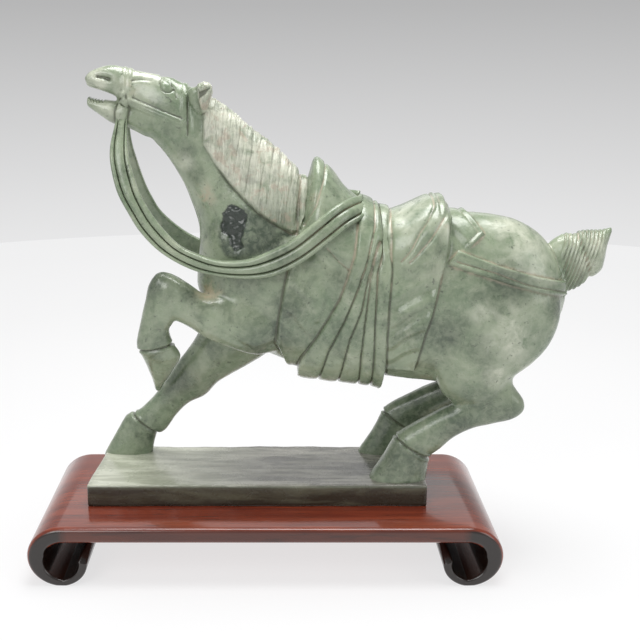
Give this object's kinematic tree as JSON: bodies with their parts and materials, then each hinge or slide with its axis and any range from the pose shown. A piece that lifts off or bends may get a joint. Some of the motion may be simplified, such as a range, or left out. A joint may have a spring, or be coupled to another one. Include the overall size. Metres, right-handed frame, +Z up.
{
  "type": "stone horse carving",
  "caption": "Saddled horse carved from green-grey stone, rearing its head on a slab, with a lacquered wooden scroll-ended stand.",
  "frame": {"origin": "middle of the object's bounding box at the height of the surface it stands on", "axes": "+X along the stand toward the horse's tail, the head toward -X, +Y toward the horse's right side, +Z up"},
  "size_m": [0.4958, 0.168, 0.4246],
  "materials": {
    "stone": "satin",
    "wood": "gloss"
  },
  "bodies": {
    "root": {"horse": "stone", "stand": "wood"}
  },
  "joints": []
}
